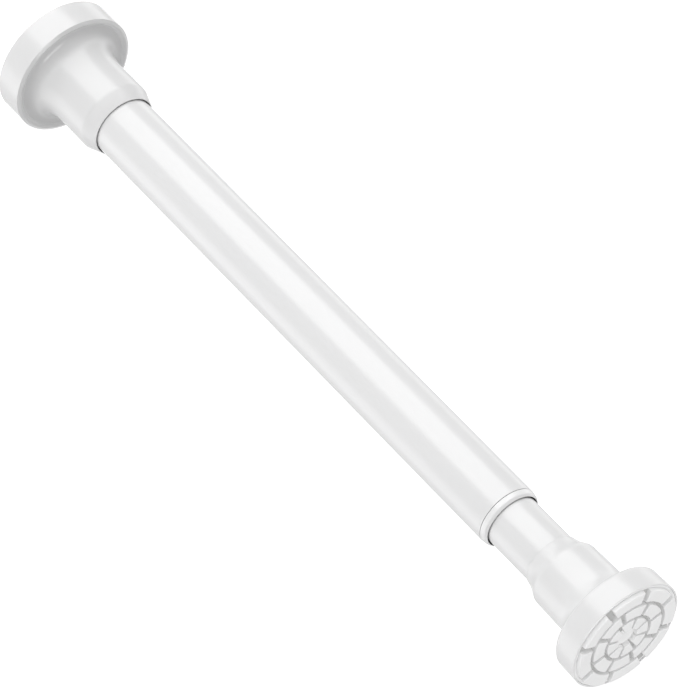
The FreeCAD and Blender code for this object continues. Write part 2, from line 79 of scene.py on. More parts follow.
class Slot(Enum):
    """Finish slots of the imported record."""

    RUBBER = "rubber"
    CAP = "cap_plastic"
    TUBE = "tube_enamel"
    COLLAR = "collar_plastic"
    PLUG = "moulded_plug"
    GRIP = "grip_plastic"
    ZINC = "zinc_steel"
    SPRING = "spring_steel"


class End(Enum):
    """Which way a foot's rim points."""

    DOWN = "down"
    UP = "up"


@dataclass(frozen=True)
class Corner:
    """A corner of an outline: distance from the axis, height, and the radius of its round."""

    radius: float
    height: float
    ease: float = 0.0


@dataclass(frozen=True)
class Card:
    """A bright stretch of the studio's surroundings, as the rod's gloss shows it.

    bearing is the angle round the rod from the camera's side, towards +X, in degrees,
    spread is the angle that the card fills on each side of it, and fade is the width
    of its soft edge.
    """

    bearing: float
    spread: float
    fade: float
    radiance: float


def eased(corners: list[Corner], closed: bool, steps: int = 5) -> list[Point]:
    """Outline with its corners rounded by arcs.

    Args:
        corners: the outline's corners in order.
        closed: whether the last corner joins the first.
        steps: straight pieces in each round.

    Returns:
        Points as (radius, height) in millimetres.
    """
    points: list[Point] = []
    count = len(corners)
    for index, corner in enumerate(corners):
        here = Vector((corner.radius, corner.height))
        at_end = not closed and index in (0, count - 1)
        if corner.ease <= 0 or at_end:
            points.append((here.x, here.y))
            continue
        before = corners[index - 1]
        after = corners[(index + 1) % count]
        back = Vector((before.radius, before.height)) - here
        ahead = Vector((after.radius, after.height)) - here
        half = back.angle(ahead) / 2
        reach = min(corner.ease / math.tan(half), back.length * ROUND_SHARE, ahead.length * ROUND_SHARE)
        ease = reach * math.tan(half)
        centre = here + (back.normalized() + ahead.normalized()).normalized() * (ease / math.sin(half))
        start = here + back.normalized() * reach - centre
        end = here + ahead.normalized() * reach - centre
        for step in range(steps + 1):
            share = step / steps
            arm = (start * (1 - share) + end * share).normalized() * ease
            points.append((centre.x + arm.x, centre.y + arm.y))
    return points


def curve(centre: Point, start: Point, end: Point, steps: int = 14, fullness: float = 2.0) -> list[Corner]:
    """Quarter of an ellipse, without its two ends.

    Args:
        centre: the ellipse's centre.
        start: where it begins, level with or above the centre.
        end: where it ends.
        steps: straight pieces.
        fullness: 2 for a true ellipse, more for one that keeps closer to its corner.

    Returns:
        Corners between start and end that bulge away from the centre.
    """
    arm_a = Vector(start) - Vector(centre)
    arm_b = Vector(end) - Vector(centre)
    found = []
    for step in range(1, steps):
        angle = math.pi / 2 * step / steps
        place = arm_a * math.cos(angle) ** (2 / fullness) + arm_b * math.sin(angle) ** (2 / fullness)
        found.append(Corner(centre[0] + place.x, centre[1] + place.y))
    return found


def turned(name: str, points: list[Point], closed: bool, segments: int = TURNED_SEGMENTS) -> Piece:
    """Solid of revolution about the rod's axis.

    Args:
        name: the piece's name.
        points: outline as (radius, height) in millimetres; an open one starts and ends on the axis.
        closed: whether the outline is a ring clear of the axis.
        segments: flats round the axis.

    Returns:
        The piece, in metres.
    """
    work = bmesh.new()
    rings = []
    for radius, height in points:
        if radius < ON_AXIS:
            rings.append([work.verts.new((0, 0, height * MM))])
            continue
        rings.append([work.verts.new((radius * MM * math.cos(FULL_TURN * k / segments),
                                      radius * MM * math.sin(FULL_TURN * k / segments),
                                      height * MM)) for k in range(segments)])
    pairs = list(zip(rings, rings[1:]))
    if closed:
        pairs.append((rings[-1], rings[0]))
    for low, high in pairs:
        for k in range(segments):
            after = (k + 1) % segments
            loop = [low[k % len(low)], low[after % len(low)], high[after % len(high)], high[k % len(high)]]
            unique = list(dict.fromkeys(loop))
            if len(unique) > 2:
                work.faces.new(unique)
    return finished(name, work)


def finished(name: str, work: bmesh.types.BMesh) -> Piece:
    """Turns a working mesh into a smooth-shaded piece with crisp edges kept.

    Args:
        name: the piece's name.
        work: the working mesh, freed here.

    Returns:
        The linked piece.
    """
    bmesh.ops.recalc_face_normals(work, faces=work.faces)
    mesh = bpy.data.meshes.new(name)
    work.to_mesh(mesh)
    work.free()
    mesh.shade_smooth()
    mesh.set_sharp_from_angle(angle=math.radians(SMOOTH_BELOW_DEGREES))
    piece = bpy.data.objects.new(name, mesh)
    bpy.context.scene.collection.objects.link(piece)
    return piece


def skin(work: bmesh.types.BMesh, rings: list[list[bmesh.types.BMVert]], ends: bool = True) -> None:
    """Spans neighbouring rings with faces and closes the ends.

    Args:
        work: the working mesh.
        rings: rings with as many points each, in order.
        ends: whether the first and the last ring are closed.
    """
    for low, high in zip(rings, rings[1:]):
        for k in range(len(low)):
            after = (k + 1) % len(low)
            work.faces.new((low[k], low[after], high[after], high[k]))
    if ends:
        work.faces.new(list(reversed(rings[0])))
        work.faces.new(rings[-1])


def lifted(piece: Piece, height: float) -> Piece:
    """Moves a piece's mesh up the rod.

    Args:
        piece: the piece.
        height: how far, in millimetres.

    Returns:
        The same piece.
    """
    piece.data.transform(Matrix.Translation((0, 0, height * MM)))
    return piece


def paint_recess_shade(piece: Piece, radii: Point, heights: Point) -> None:
    """Marks the faces of a recess for the second material, which paints the shade that falls there.

    Args:
        piece: the piece, upright about the rod's axis.
        radii: smallest and largest distance of the faces' middles from the axis.
        heights: their lowest and greatest height.
    """
    for face in piece.data.polygons:
        middle = face.center / MM
        if radii[0] < math.hypot(middle.x, middle.y) < radii[1] and heights[0] < middle.z < heights[1]:
            face.material_index = 1


def joined(name: str, pieces: list[Piece]) -> Piece:
    """Several pieces as one mesh.

    Args:
        name: the name of the result.
        pieces: pieces to take in, which are removed.

    Returns:
        The one piece.
    """
    work = bmesh.new()
    for piece in pieces:
        work.from_mesh(piece.data)
        bpy.data.objects.remove(piece)
    return finished(name, work)


class Bench:
    """A node tree being wired for one finish."""

    def __init__(self, name: str) -> None:
        """Starts a material with a bare principled shader.

        Args:
            name: the material's name.
        """
        self.material = bpy.data.materials.new(name)
        self.material.use_nodes = True
        self.tree = self.material.node_tree
        self.shader = self.tree.nodes["Principled BSDF"]
        self.place = self.add("ShaderNodeTexCoord").outputs["Object"]

    def add(self, kind: str, **values: object) -> bpy.types.Node:
        """Adds a node and sets its properties.

        Args:
            kind: the node's type name.
            values: properties to set on it.

        Returns:
            The node.
        """
        node = self.tree.nodes.new(kind)
        for key, value in values.items():
            setattr(node, key, value)
        return node

    def link(self, source: Socket, target: Socket) -> None:
        """Joins two sockets."""
        self.tree.links.new(source, target)

    def noise(self, scale: float, detail: float, stretch: Triple = (1, 1, 1)) -> Socket:
        """Noise over the piece.

        Args:
            scale: features per metre.
            detail: octaves.
            stretch: scale along each axis.

        Returns:
            The noise value, about 0.5 in the middle.
        """
        mapping = self.add("ShaderNodeMapping")
        mapping.inputs["Scale"].default_value = stretch
        self.link(self.place, mapping.inputs["Vector"])
        node = self.add("ShaderNodeTexNoise")
        node.inputs["Scale"].default_value = scale
        node.inputs["Detail"].default_value = detail
        self.link(mapping.outputs["Vector"], node.inputs["Vector"])
        return node.outputs["Fac"]

    def between(self, value: Socket, low: float, high: float) -> Socket:
        """The noise value spread between two numbers.

        Args:
            value: the noise value.
            low: what its low end becomes.
            high: what its high end becomes.

        Returns:
            The spread value.
        """
        node = self.add("ShaderNodeMapRange")
        node.inputs["From Min"].default_value, node.inputs["From Max"].default_value = NOISE_SPAN
        node.inputs["To Min"].default_value = low
        node.inputs["To Max"].default_value = high
        self.link(value, node.inputs["Value"])
        return node.outputs["Result"]

    def tint(self, value: Socket, first: Triple, second: Triple) -> None:
        """Base colour that runs from one tone to another.

        Args:
            value: the noise value.
            first: the tone at its low end.
            second: the tone at its high end.
        """
        ramp = self.add("ShaderNodeValToRGB")
        for index, tone in enumerate((first, second)):
            ramp.color_ramp.elements[index].position = NOISE_SPAN[index]
            ramp.color_ramp.elements[index].color = (*tone, 1)
        self.link(value, ramp.inputs["Fac"])
        self.link(ramp.outputs["Color"], self.shader.inputs["Base Color"])

    def rough(self, value: Socket, low: float, high: float) -> None:
        """Roughness that wanders between two numbers."""
        self.link(self.between(value, low, high), self.shader.inputs["Roughness"])

    def bump(self, layers: list[tuple[Socket, float, float]]) -> None:
        """Stacked bumps.

        Args:
            layers: (height, strength, depth in metres) of each layer.
        """
        normal = None
        for height, strength, depth in layers:
            node = self.add("ShaderNodeBump")
            node.inputs["Strength"].default_value = strength
            node.inputs["Distance"].default_value = depth
            self.link(height, node.inputs["Height"])
            if normal is not None:
                self.link(normal, node.inputs["Normal"])
            normal = node.outputs["Normal"]
        self.link(normal, self.shader.inputs["Normal"])

    def put(self, **values: object) -> None:
        """Sets shader sockets by name, with underscores for spaces."""
        for key, value in values.items():
            self.shader.inputs[key.replace("_", " ")].default_value = value


@dataclass(frozen=True)
class Enamel:
    """Baked white enamel on drawn steel tube: smooth, with a faint orange peel."""

    name: str = "white_enamel"
    light: Triple = (0.84, 0.84, 0.842)
    dark: Triple = (0.825, 0.826, 0.829)
    rough_low: float = 0.3
    rough_high: float = 0.36
    coat: float = 1.0
    coat_rough: float = 0.14
    clouds: float = 26.0
    cloud_stretch: Triple = (1, 1, 0.35)
    peel: float = 900.0
    peel_strength: float = 0.06
    peel_depth: float = 0.00006
    draw_lines: float = 420.0
    draw_stretch: Triple = (1, 1, 0.03)
    draw_strength: float = 0.05
    draw_depth: float = 0.00005

    def material(self) -> bpy.types.Material:
        """The finish as a material.

        Returns:
            The material.
        """
        bench = Bench(self.name)
        cloud = bench.noise(self.clouds, detail=3.0, stretch=self.cloud_stretch)
        peel = bench.noise(self.peel, detail=2.0)
        draw = bench.noise(self.draw_lines, detail=2.0, stretch=self.draw_stretch)
        bench.tint(cloud, self.dark, self.light)
        bench.rough(cloud, self.rough_low, self.rough_high)
        bench.bump([(draw, self.draw_strength, self.draw_depth), (peel, self.peel_strength, self.peel_depth)])
        bench.put(Coat_Weight=self.coat, Coat_Roughness=self.coat_rough, Coat_IOR=COAT_IOR)
        return bench.material


@dataclass(frozen=True)
class Moulding:
    """White moulded plastic with a satin skin, flow marks and a fine spark texture."""

    name: str
    light: Triple
    dark: Triple
    rough_low: float = 0.34
    rough_high: float = 0.42
    coat: float = 0.0
    grain: float = 0.08
    coat_rough: float = 0.16
    flow_marks: float = 38.0
    flow_stretch: Triple = (1, 1, 0.5)
    sparks: float = 2600.0
    spark_depth: float = 0.00003
    sinks: float = 60.0
    sink_strength: float = 0.05
    sink_depth: float = 0.0002
    scatter: float = 0.04
    scatter_reach: float = 0.002

    def material(self) -> bpy.types.Material:
        """The finish as a material.

        Returns:
            The material.
        """
        bench = Bench(self.name)
        flow = bench.noise(self.flow_marks, detail=4.0, stretch=self.flow_stretch)
        spark = bench.noise(self.sparks, detail=3.0)
        sink = bench.noise(self.sinks, detail=1.0)
        bench.tint(flow, self.dark, self.light)
        bench.rough(flow, self.rough_low, self.rough_high)
        bench.bump([(sink, self.sink_strength, self.sink_depth), (spark, self.grain, self.spark_depth)])
        bench.put(Coat_Weight=self.coat, Coat_Roughness=self.coat_rough, Coat_IOR=COAT_IOR,
                  Subsurface_Weight=self.scatter, Subsurface_Radius=(self.scatter_reach,) * 3)
        return bench.material


@dataclass(frozen=True)
class Rubber:
    """Soft matt skin with a fine grain and a slight bloom, sheen of its mould if coated."""

    name: str = "white_rubber"
    light: Triple = (0.93, 0.93, 0.93)
    dark: Triple = (0.91, 0.91, 0.911)
    coat: float = 0.7
    coat_rough: float = 0.25
    rough_low: float = 0.4
    rough_high: float = 0.5
    bloom: float = 90.0
    grain: float = 3400.0
    grain_strength: float = 0.14
    grain_depth: float = 0.00004

    def material(self) -> bpy.types.Material:
        """The finish as a material.

        Returns:
            The material.
        """
        bench = Bench(self.name)
        bloom = bench.noise(self.bloom, detail=5.0)
        grain = bench.noise(self.grain, detail=4.0)
        bench.tint(bloom, self.dark, self.light)
        bench.rough(bloom, self.rough_low, self.rough_high)
        bench.bump([(grain, self.grain_strength, self.grain_depth)])
        bench.put(Coat_Weight=self.coat, Coat_Roughness=self.coat_rough, Coat_IOR=COAT_IOR)
        return bench.material


@dataclass(frozen=True)
class Metal:
    """Plated or drawn steel, with turning marks round the rod's axis."""

    name: str
    light: Triple
    dark: Triple
    rough_low: float
    rough_high: float
    marks: float = 0.1
    mark_depth: float = 0.00005
    turning: float = 160.0
    turning_stretch: Triple = (0.2, 0.2, 14)
    spangles: float = 320.0

    def material(self) -> bpy.types.Material:
        """The finish as a material.

        Returns:
            The material.
        """
        bench = Bench(self.name)
        spangle = bench.noise(self.spangles, detail=4.0)
        turning = bench.noise(self.turning, detail=3.0, stretch=self.turning_stretch)
        bench.tint(spangle, self.dark, self.light)
        bench.rough(spangle, self.rough_low, self.rough_high)
        bench.bump([(turning, self.marks, self.mark_depth)])
        bench.put(Metallic=1.0)
        return bench.material


@dataclass(frozen=True)
class FloorPaint:
    """Plain pale floor, almost white."""

    name: str = "pale_floor"
    light: Triple = (0.62, 0.62, 0.62)
    dark: Triple = (0.6, 0.6, 0.6)
    lift: float = 0.74
    roughness: float = 0.8
    gloss: float = 0.2
    clouds: float = 3.0

    def material(self) -> bpy.types.Material:
        """The finish as a material.

        Returns:
            The material.
        """
        bench = Bench(self.name)
        bench.tint(bench.noise(self.clouds, detail=2.0), self.dark, self.light)
        bench.put(Roughness=self.roughness, Specular_IOR_Level=self.gloss,
                  Emission_Color=(1, 1, 1, 1), Emission_Strength=self.lift)
        return bench.material


@dataclass
class Finishes:
    """One material for each slot of the record, and for some slots a second one that paints the shade in
    their recesses.
    """

    made: dict[Slot, bpy.types.Material] = field(default_factory=dict)
    painted_shade: dict[Slot, bpy.types.Material] = field(default_factory=dict)

    def __post_init__(self) -> None:
        """Makes every finish once."""
        self.made = {
            Slot.RUBBER: Rubber().material(),
            Slot.CAP: Moulding("white_cap_plastic", (0.81, 0.81, 0.812), (0.795, 0.795, 0.797),
                               coat=1.0).material(),
            Slot.TUBE: Enamel().material(),
            Slot.COLLAR: Moulding("white_collar_plastic", (0.92, 0.92, 0.92), (0.9, 0.9, 0.901),
                                  rough_low=0.3, rough_high=0.36, coat=1.0).material(),
            Slot.PLUG: Moulding("natural_plug_plastic", (0.78, 0.77, 0.73), (0.74, 0.73, 0.69),
                                rough_low=0.45, rough_high=0.55).material(),
            Slot.GRIP: Moulding("grip_plastic", (0.05, 0.052, 0.056), (0.035, 0.036, 0.04),
                                rough_low=0.5, rough_high=0.6, grain=0.2).material(),
            Slot.ZINC: Metal("bright_zinc", (0.74, 0.75, 0.77), (0.66, 0.67, 0.69),
                             rough_low=0.24, rough_high=0.36).material(),
            Slot.SPRING: Metal("drawn_spring_steel", (0.34, 0.34, 0.35), (0.25, 0.25, 0.26),
                               rough_low=0.28, rough_high=0.42, marks=0.2).material(),
        }
        # Near-black finish that paints the shade inside the mouth gaps of the collar and caps and inside the
        # collar's parting slot.
        painted_gap_shade = Rubber("painted_gap_shade", (0.16, 0.16, 0.16), (0.1, 0.1, 0.1), coat=0.0).material()
        self.painted_shade = {
            # Grey rubber that paints the shade on the floor of the pad's grooves.
            Slot.RUBBER: Rubber("rubber_painted_groove_shade", (0.56, 0.56, 0.555), (0.44, 0.44, 0.435),
                                coat=0.0).material(),
            Slot.CAP: painted_gap_shade,
            Slot.COLLAR: painted_gap_shade,
        }

    def wear(self, piece: Piece, slot: Slot) -> None:
        """Gives a piece or a carried-over node its material, and the painted shade for its recesses.

        Args:
            piece: the piece or node, with its recessed faces marked.
            slot: its finish.
        """
        marks = [face.material_index for face in piece.data.polygons]
        piece.data.materials.clear()
        piece.data.materials.append(self.made[slot])
        if any(marks):
            piece.data.materials.append(self.painted_shade[slot])
            piece.data.polygons.foreach_set("material_index", marks)


@dataclass
class Assembly:
    """A group of pieces that ride on one body."""

    finishes: Finishes
    body: str

    def seat(self, piece: Piece, slot: Slot, *nodes: str) -> Piece:
        """Finishes a piece, puts it on the body and lets it stand for its nodes.

        Args:
            piece: the piece, already in place.
            slot: its finish.
            nodes: the nodes that it replaces.

        Returns:
            The same piece.
        """
        self.finishes.wear(piece, slot)
        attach(piece, self.body)
        if nodes:
            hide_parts(*nodes)
        LOG.info("%s on %s, %d faces", piece.name, self.body, len(piece.data.polygons))
        return piece

    def dress(self, node: str, slot: Slot) -> None:
        """Finishes a node whose own shape is right."""
        self.finishes.wear(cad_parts[node], slot)
        LOG.info("%s dressed", node)

    def reach(self, node: str) -> Triple:
        """Lowest height, highest height and largest radius of a node, in millimetres."""
        low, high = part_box(node)
        return low.z / MM, high.z / MM, high.x / MM


@dataclass
class Tubes(Assembly):
    """The drawn tubes, with deburred mouths and any rolled crimps."""

    wall: float = 0.8
    deburr: float = 0.15
    crimp_depth: float = 0.6
    crimp_half: float = 1.3
    crimp_ease: float = 0.6
    crimp_drop: float = 7.0

    def groove(self, radius: float, height: float, rising: bool) -> list[Corner]:
        """A rolled crimp in a wall at the radius.

        Args:
            radius: the wall before it is rolled.
            height: the middle of the crimp.
            rising: whether the outline runs up the rod there.

        Returns:
            The crimp's corners, in the outline's order.
        """
        half = self.crimp_half if rising else -self.crimp_half
        return [Corner(radius, height - half, self.crimp_ease),
                Corner(radius - self.crimp_depth, height, self.crimp_ease),
                Corner(radius, height + half, self.crimp_ease)]

    def build(self, node: str, crimps: tuple[float, ...] = ()) -> None:
        """Makes a tube in place of its node.

        Args:
            node: the tube's node.
            crimps: the heights of its crimps.
        """
        low, high, outside = self.reach(node)
        outside = round(outside, 1)
        inside = outside - self.wall
        corners = [Corner(outside, low, self.deburr)]
        for height in crimps:
            corners += self.groove(outside, height, True)
        corners += [Corner(outside, high, self.deburr), Corner(inside, high, self.deburr)]
        for height in reversed(crimps):
            corners += self.groove(inside, height, False)
        corners += [Corner(inside, low, self.deburr)]
        self.seat(turned(node + "_enamelled", eased(corners, True, 3), True), Slot.TUBE, node)


@dataclass
class Collar(Assembly):
    """The white bush in the mouth of the outer tube."""

    flange: float = 13.95
    taper: float = 13.6
    front: float = 12.8
    chamfer: float = 1.1
    mouth: float = 12.65
    mouth_depth: float = 1.6
    bore: float = 12.09
    spigot: float = 13.15
    spigot_length: float = 12.0
    parting: float = 0.22
    spigot_ease: float = 0.4
    bore_ease: float = 0.3
    back_ease: float = 0.05
    chamfer_ease: float = 0.8
    front_ease: float = 0.12
    mouth_ease: float = 0.08

    def build(self) -> None:
        """Makes the collar in place of its node."""
        low, high, _ = self.reach("tube_collar")
        seat = low + self.spigot_length
        back = seat + self.parting
        step = high - self.mouth_depth
        corners = [Corner(self.bore, low, self.bore_ease), Corner(self.spigot, low, self.spigot_ease),
                   Corner(self.spigot, seat), Corner(self.spigot, back),
                   Corner(self.flange, back, self.back_ease),
                   Corner(self.taper, high - self.chamfer, self.chamfer_ease),
                   Corner(self.front, high, self.front_ease), Corner(self.mouth, high, self.mouth_ease),
                   Corner(self.mouth, step), Corner(self.bore, step)]
        ring = turned("collar_ring", eased(corners, True), True)
        # The collar's mouth bore and its parting slot are given painted shade.
        paint_recess_shade(ring, (self.bore, self.mouth), (step - self.parting, high))
        paint_recess_shade(ring, (self.bore, self.flange - self.parting), (seat, back + self.parting / 2))
        self.seat(ring, Slot.COLLAR, "tube_collar")


@dataclass
class FootSizes:
    """A foot's outside form, with heights from the rim to the tube's mouth."""

    rim: float
    back: float
    flange_depth: float
    edge_round: float
    neck_low: float
    neck_high: float
    neck_start: float
    neck_end: float
    mouth: float
    tube: float
    waist: float
    lip: float = 0.0
    flare_fullness: float = 2.0
    shoulder_ease: float = 5.0
    hollow_ease: float = 16.0
    crown: float = 0.8
    crown_arc: float = 2.5
    dish_drop: float = 0.0
    lip_ease: float = 0.7
    rim_land: float = 0.8
    rim_round: float = 0.5
    recess_depth: float = 2.0
    floor: float = 6.5
    wall: float = 3.4
    back_wall: float = 2.6
    socket_clearance: float = 0.05
    mouth_relief: float = 0.4
    relief_depth: float = 1.2
    screw_hole: float = 1.8
    pocket_ease: float = 0.6
    land_ease: float = 0.15
    mouth_ease: float = 0.2
    relief_ease: float = 0.1
    flare_steps: int = 24


@dataclass
class Foot(Assembly):
    """A flared foot: the moulded cap, its rubber face, its screw, washer and plug."""

    end: End
    sizes: FootSizes
    prefix: str
    ring_turns: Triple = (3.0, 16.0, 4.0)
    blocks: int = 8
    ribs: int = 8
    rib_thickness: float = 2.0
    rib_root: float = 0.5

    def place(self, piece: Piece, rim: float) -> Piece:
        """Moves a piece made with the rim at height 0 to the foot's own place.

        Args:
            piece: the piece, made as for the lower foot.
            rim: height of the foot's rim, in millimetres.

        Returns:
            The same piece, with its place in its mesh.
        """
        move = Matrix.Translation((0, 0, rim * MM))
        if self.end is End.UP:
            move = move @ Matrix.Rotation(math.pi, 4, "X")
        piece.data.transform(move)
        return piece

    def rim_height(self) -> tuple[float, float]:
        """Height of the rim and the cap's length."""
        low, high, _ = self.reach(self.prefix + "_cap")
        return (low if self.end is End.DOWN else high), high - low

    def cap_outline(self, length: float) -> list[Corner]:
        """Section of the cap from its screw hole round the outside and back down the socket.

        Args:
            length: the cap's length, from rim to mouth.

        Returns:
            The section's corners, with the rim at height 0.
        """
        size = self.sizes
        floor_top = size.recess_depth + size.floor
        bore = size.tube + size.socket_clearance
        recess = size.rim - size.rim_land
        flare_radius = size.back - size.edge_round - size.lip - size.dish_drop
        flare_height = size.flange_depth - size.dish_drop
        deep = flare_height - size.back_wall
        pocket = size.rim - size.wall
        flare_middle = (size.neck_start - flare_height) * (1 - math.sqrt(0.5))
        shelf = deep + flare_middle
        corners = [Corner(size.screw_hole, size.recess_depth), Corner(size.neck_low, size.recess_depth),
                   Corner(size.neck_low, shelf, size.pocket_ease), Corner(pocket, deep, size.pocket_ease),
                   Corner(pocket, size.recess_depth), Corner(recess, size.recess_depth),
                   Corner(recess, 0, size.land_ease), Corner(size.rim, 0, size.rim_round)]
        corners += self.brim_outline()
        if size.lip:
            corners.append(Corner(flare_radius, flare_height, size.lip_ease))
        corners += curve((flare_radius, size.neck_start), (flare_radius, flare_height),
                         (size.neck_low, size.neck_start), size.flare_steps, size.flare_fullness)
        corners.append(Corner(size.neck_low, size.neck_start))
        corners += self.mouth_outline(length)
        corners += [Corner(bore + size.mouth_relief, length, size.relief_ease),
                    Corner(bore, length - size.relief_depth), Corner(bore, floor_top),
                    Corner(size.screw_hole, floor_top)]
        return corners

    def brim_outline(self, steps: int = 6) -> list[Corner]:
        """The flange's back edge: a round, or a crisp edge and a crowned lip.

        Args:
            steps: straight pieces across the edge.

        Returns:
            The edge's corners, from the outside inwards.
        """
        size = self.sizes
        low = size.flange_depth - size.edge_round
        if not size.lip:
            middle = size.back - size.edge_round
            top = (middle, size.flange_depth)
            return [Corner(size.back, low), *curve((middle, low), (size.back, low), top), Corner(*top)]
        corners = [Corner(size.back, low)]
        for step in range(1, steps + 1):
            share = step / steps
            rise = size.crown * math.sin(size.crown_arc * share)
            corners.append(Corner(size.back - size.edge_round - size.lip * share, low + rise))
        return corners

    def mouth_outline(self, length: float) -> list[Corner]:
        """The outside from the neck's end to the mouth, drawn in by a shallow hollow.

        Args:
            length: the cap's length, from rim to mouth.

        Returns:
            The outline's corners.
        """
        size = self.sizes
        middle = (size.neck_high + size.mouth) / 2 - size.waist
        return [Corner(size.neck_high, size.neck_end, size.shoulder_ease),
                Corner(middle, (size.neck_end + length) / 2, size.hollow_ease),
                Corner(size.mouth, length, size.mouth_ease)]

    def build_cap(self) -> None:
        """Makes the cap, with the ribs that back the rubber face."""
        rim, length = self.rim_height()
        size = self.sizes
        shell = turned("shell", eased(self.cap_outline(length), True), True)
        # The cap's mouth relief is given painted shade.
        paint_recess_shade(shell, (size.tube, size.tube + size.socket_clearance + size.mouth_relief),
             (length - size.relief_depth, length))
        inner = size.neck_low - self.rib_root
        outer = size.rim - size.wall + self.rib_root
        top = size.flange_depth - size.dish_drop - size.back_wall + self.rib_root
        parts = [shell]
        for k in range(self.ribs):
            work = bmesh.new()
            bmesh.ops.create_cube(work, size=1.0)
            spread = Matrix.Diagonal(((outer - inner) * MM, self.rib_thickness * MM,
                                      (top - size.recess_depth) * MM, 1))
            middle = Matrix.Translation(((inner + outer) / 2 * MM, 0, (top + size.recess_depth) / 2 * MM))
            turn = Matrix.Rotation(FULL_TURN * k / self.ribs, 4, "Z")
            bmesh.ops.transform(work, matrix=turn @ middle @ spread, verts=work.verts)
            parts.append(finished(f"rib_{k}", work))
        cap = self.place(joined(self.prefix + "_cap_moulding", parts), rim)
        self.seat(cap, Slot.CAP, self.prefix + "_cap")

    def build_pad(self) -> None:
        """Makes the rubber face with its three rings of blocks."""
        rim, _ = self.rim_height()
        pad = RubberFace(self.sizes.rim - self.sizes.rim_land, self.ring_turns, self.blocks)
        face = self.place(pad.build(self.prefix + "_pad_rubber"), rim)
        self.seat(face, Slot.RUBBER, self.prefix + "_pad")

    def build_fixings(self) -> None:
        """Makes the screw with its thread, and dresses the washer and plug."""
        low, high, _ = self.reach(self.prefix + "_screw")
        screw = lifted(FootScrew().build(self.prefix + "_screw_threaded"), FootScrew.head_height)
        head = low if self.end is End.DOWN else high
        self.seat(self.place(screw, head), Slot.ZINC, self.prefix + "_screw")
        self.dress(self.prefix + "_washer", Slot.ZINC)
        self.dress(self.prefix + "_plug", Slot.PLUG)

    def build(self) -> None:
        """Makes the whole foot."""
        self.build_cap()
        self.build_pad()
        self.build_fixings()


@dataclass
class RubberFace:
    """The rubber disc and its raised blocks, with the cap's rim at height 0."""

    recess: float
    turns: Triple
    blocks: int
    proud: float = 1.5
    disc: float = 1.5
    seat: float = 2.0
    edge_groove: float = 1.1
    ring_groove: float = 1.15
    gap_degrees: float = 7.0
    centre_share: float = 0.184
    ease: float = 0.22
    crest_share: float = 0.3
    draft: float = 0.16
    root: float = 0.1
    side_gap: float = 0.05
    side_ease: float = 0.12
    arc_steps: int = 14
    depth_steps: int = 4

    def level(self, inner: float, outer: float, inset: float, height: float) -> list[list[Vector]]:
        """Points of one sector at a height, drawn in by the inset.

        Args:
            inner: inner radius of the ring.
            outer: outer radius of the ring.
            inset: how far the sector's sides stand back.
            height: height of the points.

        Returns:
            Rows of points from the inner to the outer arc.
        """
        rows = []
        for row in range(self.depth_steps + 1):
            radius = inner + inset + (outer - inner - 2 * inset) * row / self.depth_steps
            half = math.pi / self.blocks - math.radians(self.gap_degrees) / 2 - inset / radius
            rows.append([Vector((radius * math.cos(a), radius * math.sin(a), height)) * MM
                         for a in (half * (2 * k / self.arc_steps - 1) for k in range(self.arc_steps + 1))])
        return rows

    def border(self, rows: list[list]) -> list:
        """The points round the edge of a sector.

        Args:
            rows: the sector's points, row by row.

        Returns:
            Those on its edge, in order.
        """
        right = [row[-1] for row in rows[1:-1]]
        left = [row[0] for row in reversed(rows[1:-1])]
        return rows[0] + right + list(reversed(rows[-1])) + left

    def block(self, work: bmesh.types.BMesh, inner: float, outer: float, degrees: float) -> None:
        """Adds one block, with a drafted side and an eased upper edge.

        Args:
            work: the working mesh.
            inner: inner radius of the block's ring.
            outer: outer radius of the ring.
            degrees: the block's place round the ring.
        """
        turn = Matrix.Rotation(math.radians(degrees), 4, "Z")
        base = self.seat - self.disc + self.root
        face = -self.proud
        slant = self.draft + self.ease
        top = self.level(inner, outer, slant, face)
        grid = [[work.verts.new(turn @ p) for p in row] for row in top]
        for low, high in zip(grid, grid[1:]):
            for k in range(len(low) - 1):
                work.faces.new((low[k], low[k + 1], high[k + 1], high[k]))
        loops = [self.border(grid)]
        stages = [(slant - self.ease * (1 - self.crest_share), face + self.ease * self.crest_share),
                  (self.draft, face + self.ease), (0, base)]
        for inset, height in stages:
            points = self.border(self.level(inner, outer, inset, height))
            loops.append([work.verts.new(turn @ p) for p in points])
        skin(work, loops, ends=False)
        work.faces.new(loops[-1])

    def build(self, name: str) -> Piece:
        """The rubber face as one piece.

        Args:
            name: the piece's name.

        Returns:
            The piece.
        """
        face = self.recess - self.edge_groove
        centre = face * self.centre_share
        count = len(self.turns)
        width = (face - centre - self.ring_groove * (count - 1)) / count
        work = bmesh.new()
        for number, turn in enumerate(self.turns):
            inner = centre + number * (width + self.ring_groove)
            for place in range(self.blocks):
                middle = turn + (place + 0.5) * 360 / self.blocks
                self.block(work, inner, inner + width, middle)
        blocks = finished("blocks", work)
        floor = self.seat - self.disc
        side = self.recess - self.side_gap
        outline = [Corner(0, floor), Corner(centre, floor), Corner(face, floor),
                   Corner(side, floor, self.side_ease), Corner(side, self.seat), Corner(0, self.seat)]
        plate = turned("plate", eased(outline, False), False)
        # The floor of the grooves between the blocks is given painted shade.
        paint_recess_shade(plate, (centre, face), (floor - self.root, floor + self.root))
        return joined(name, [blocks, plate])


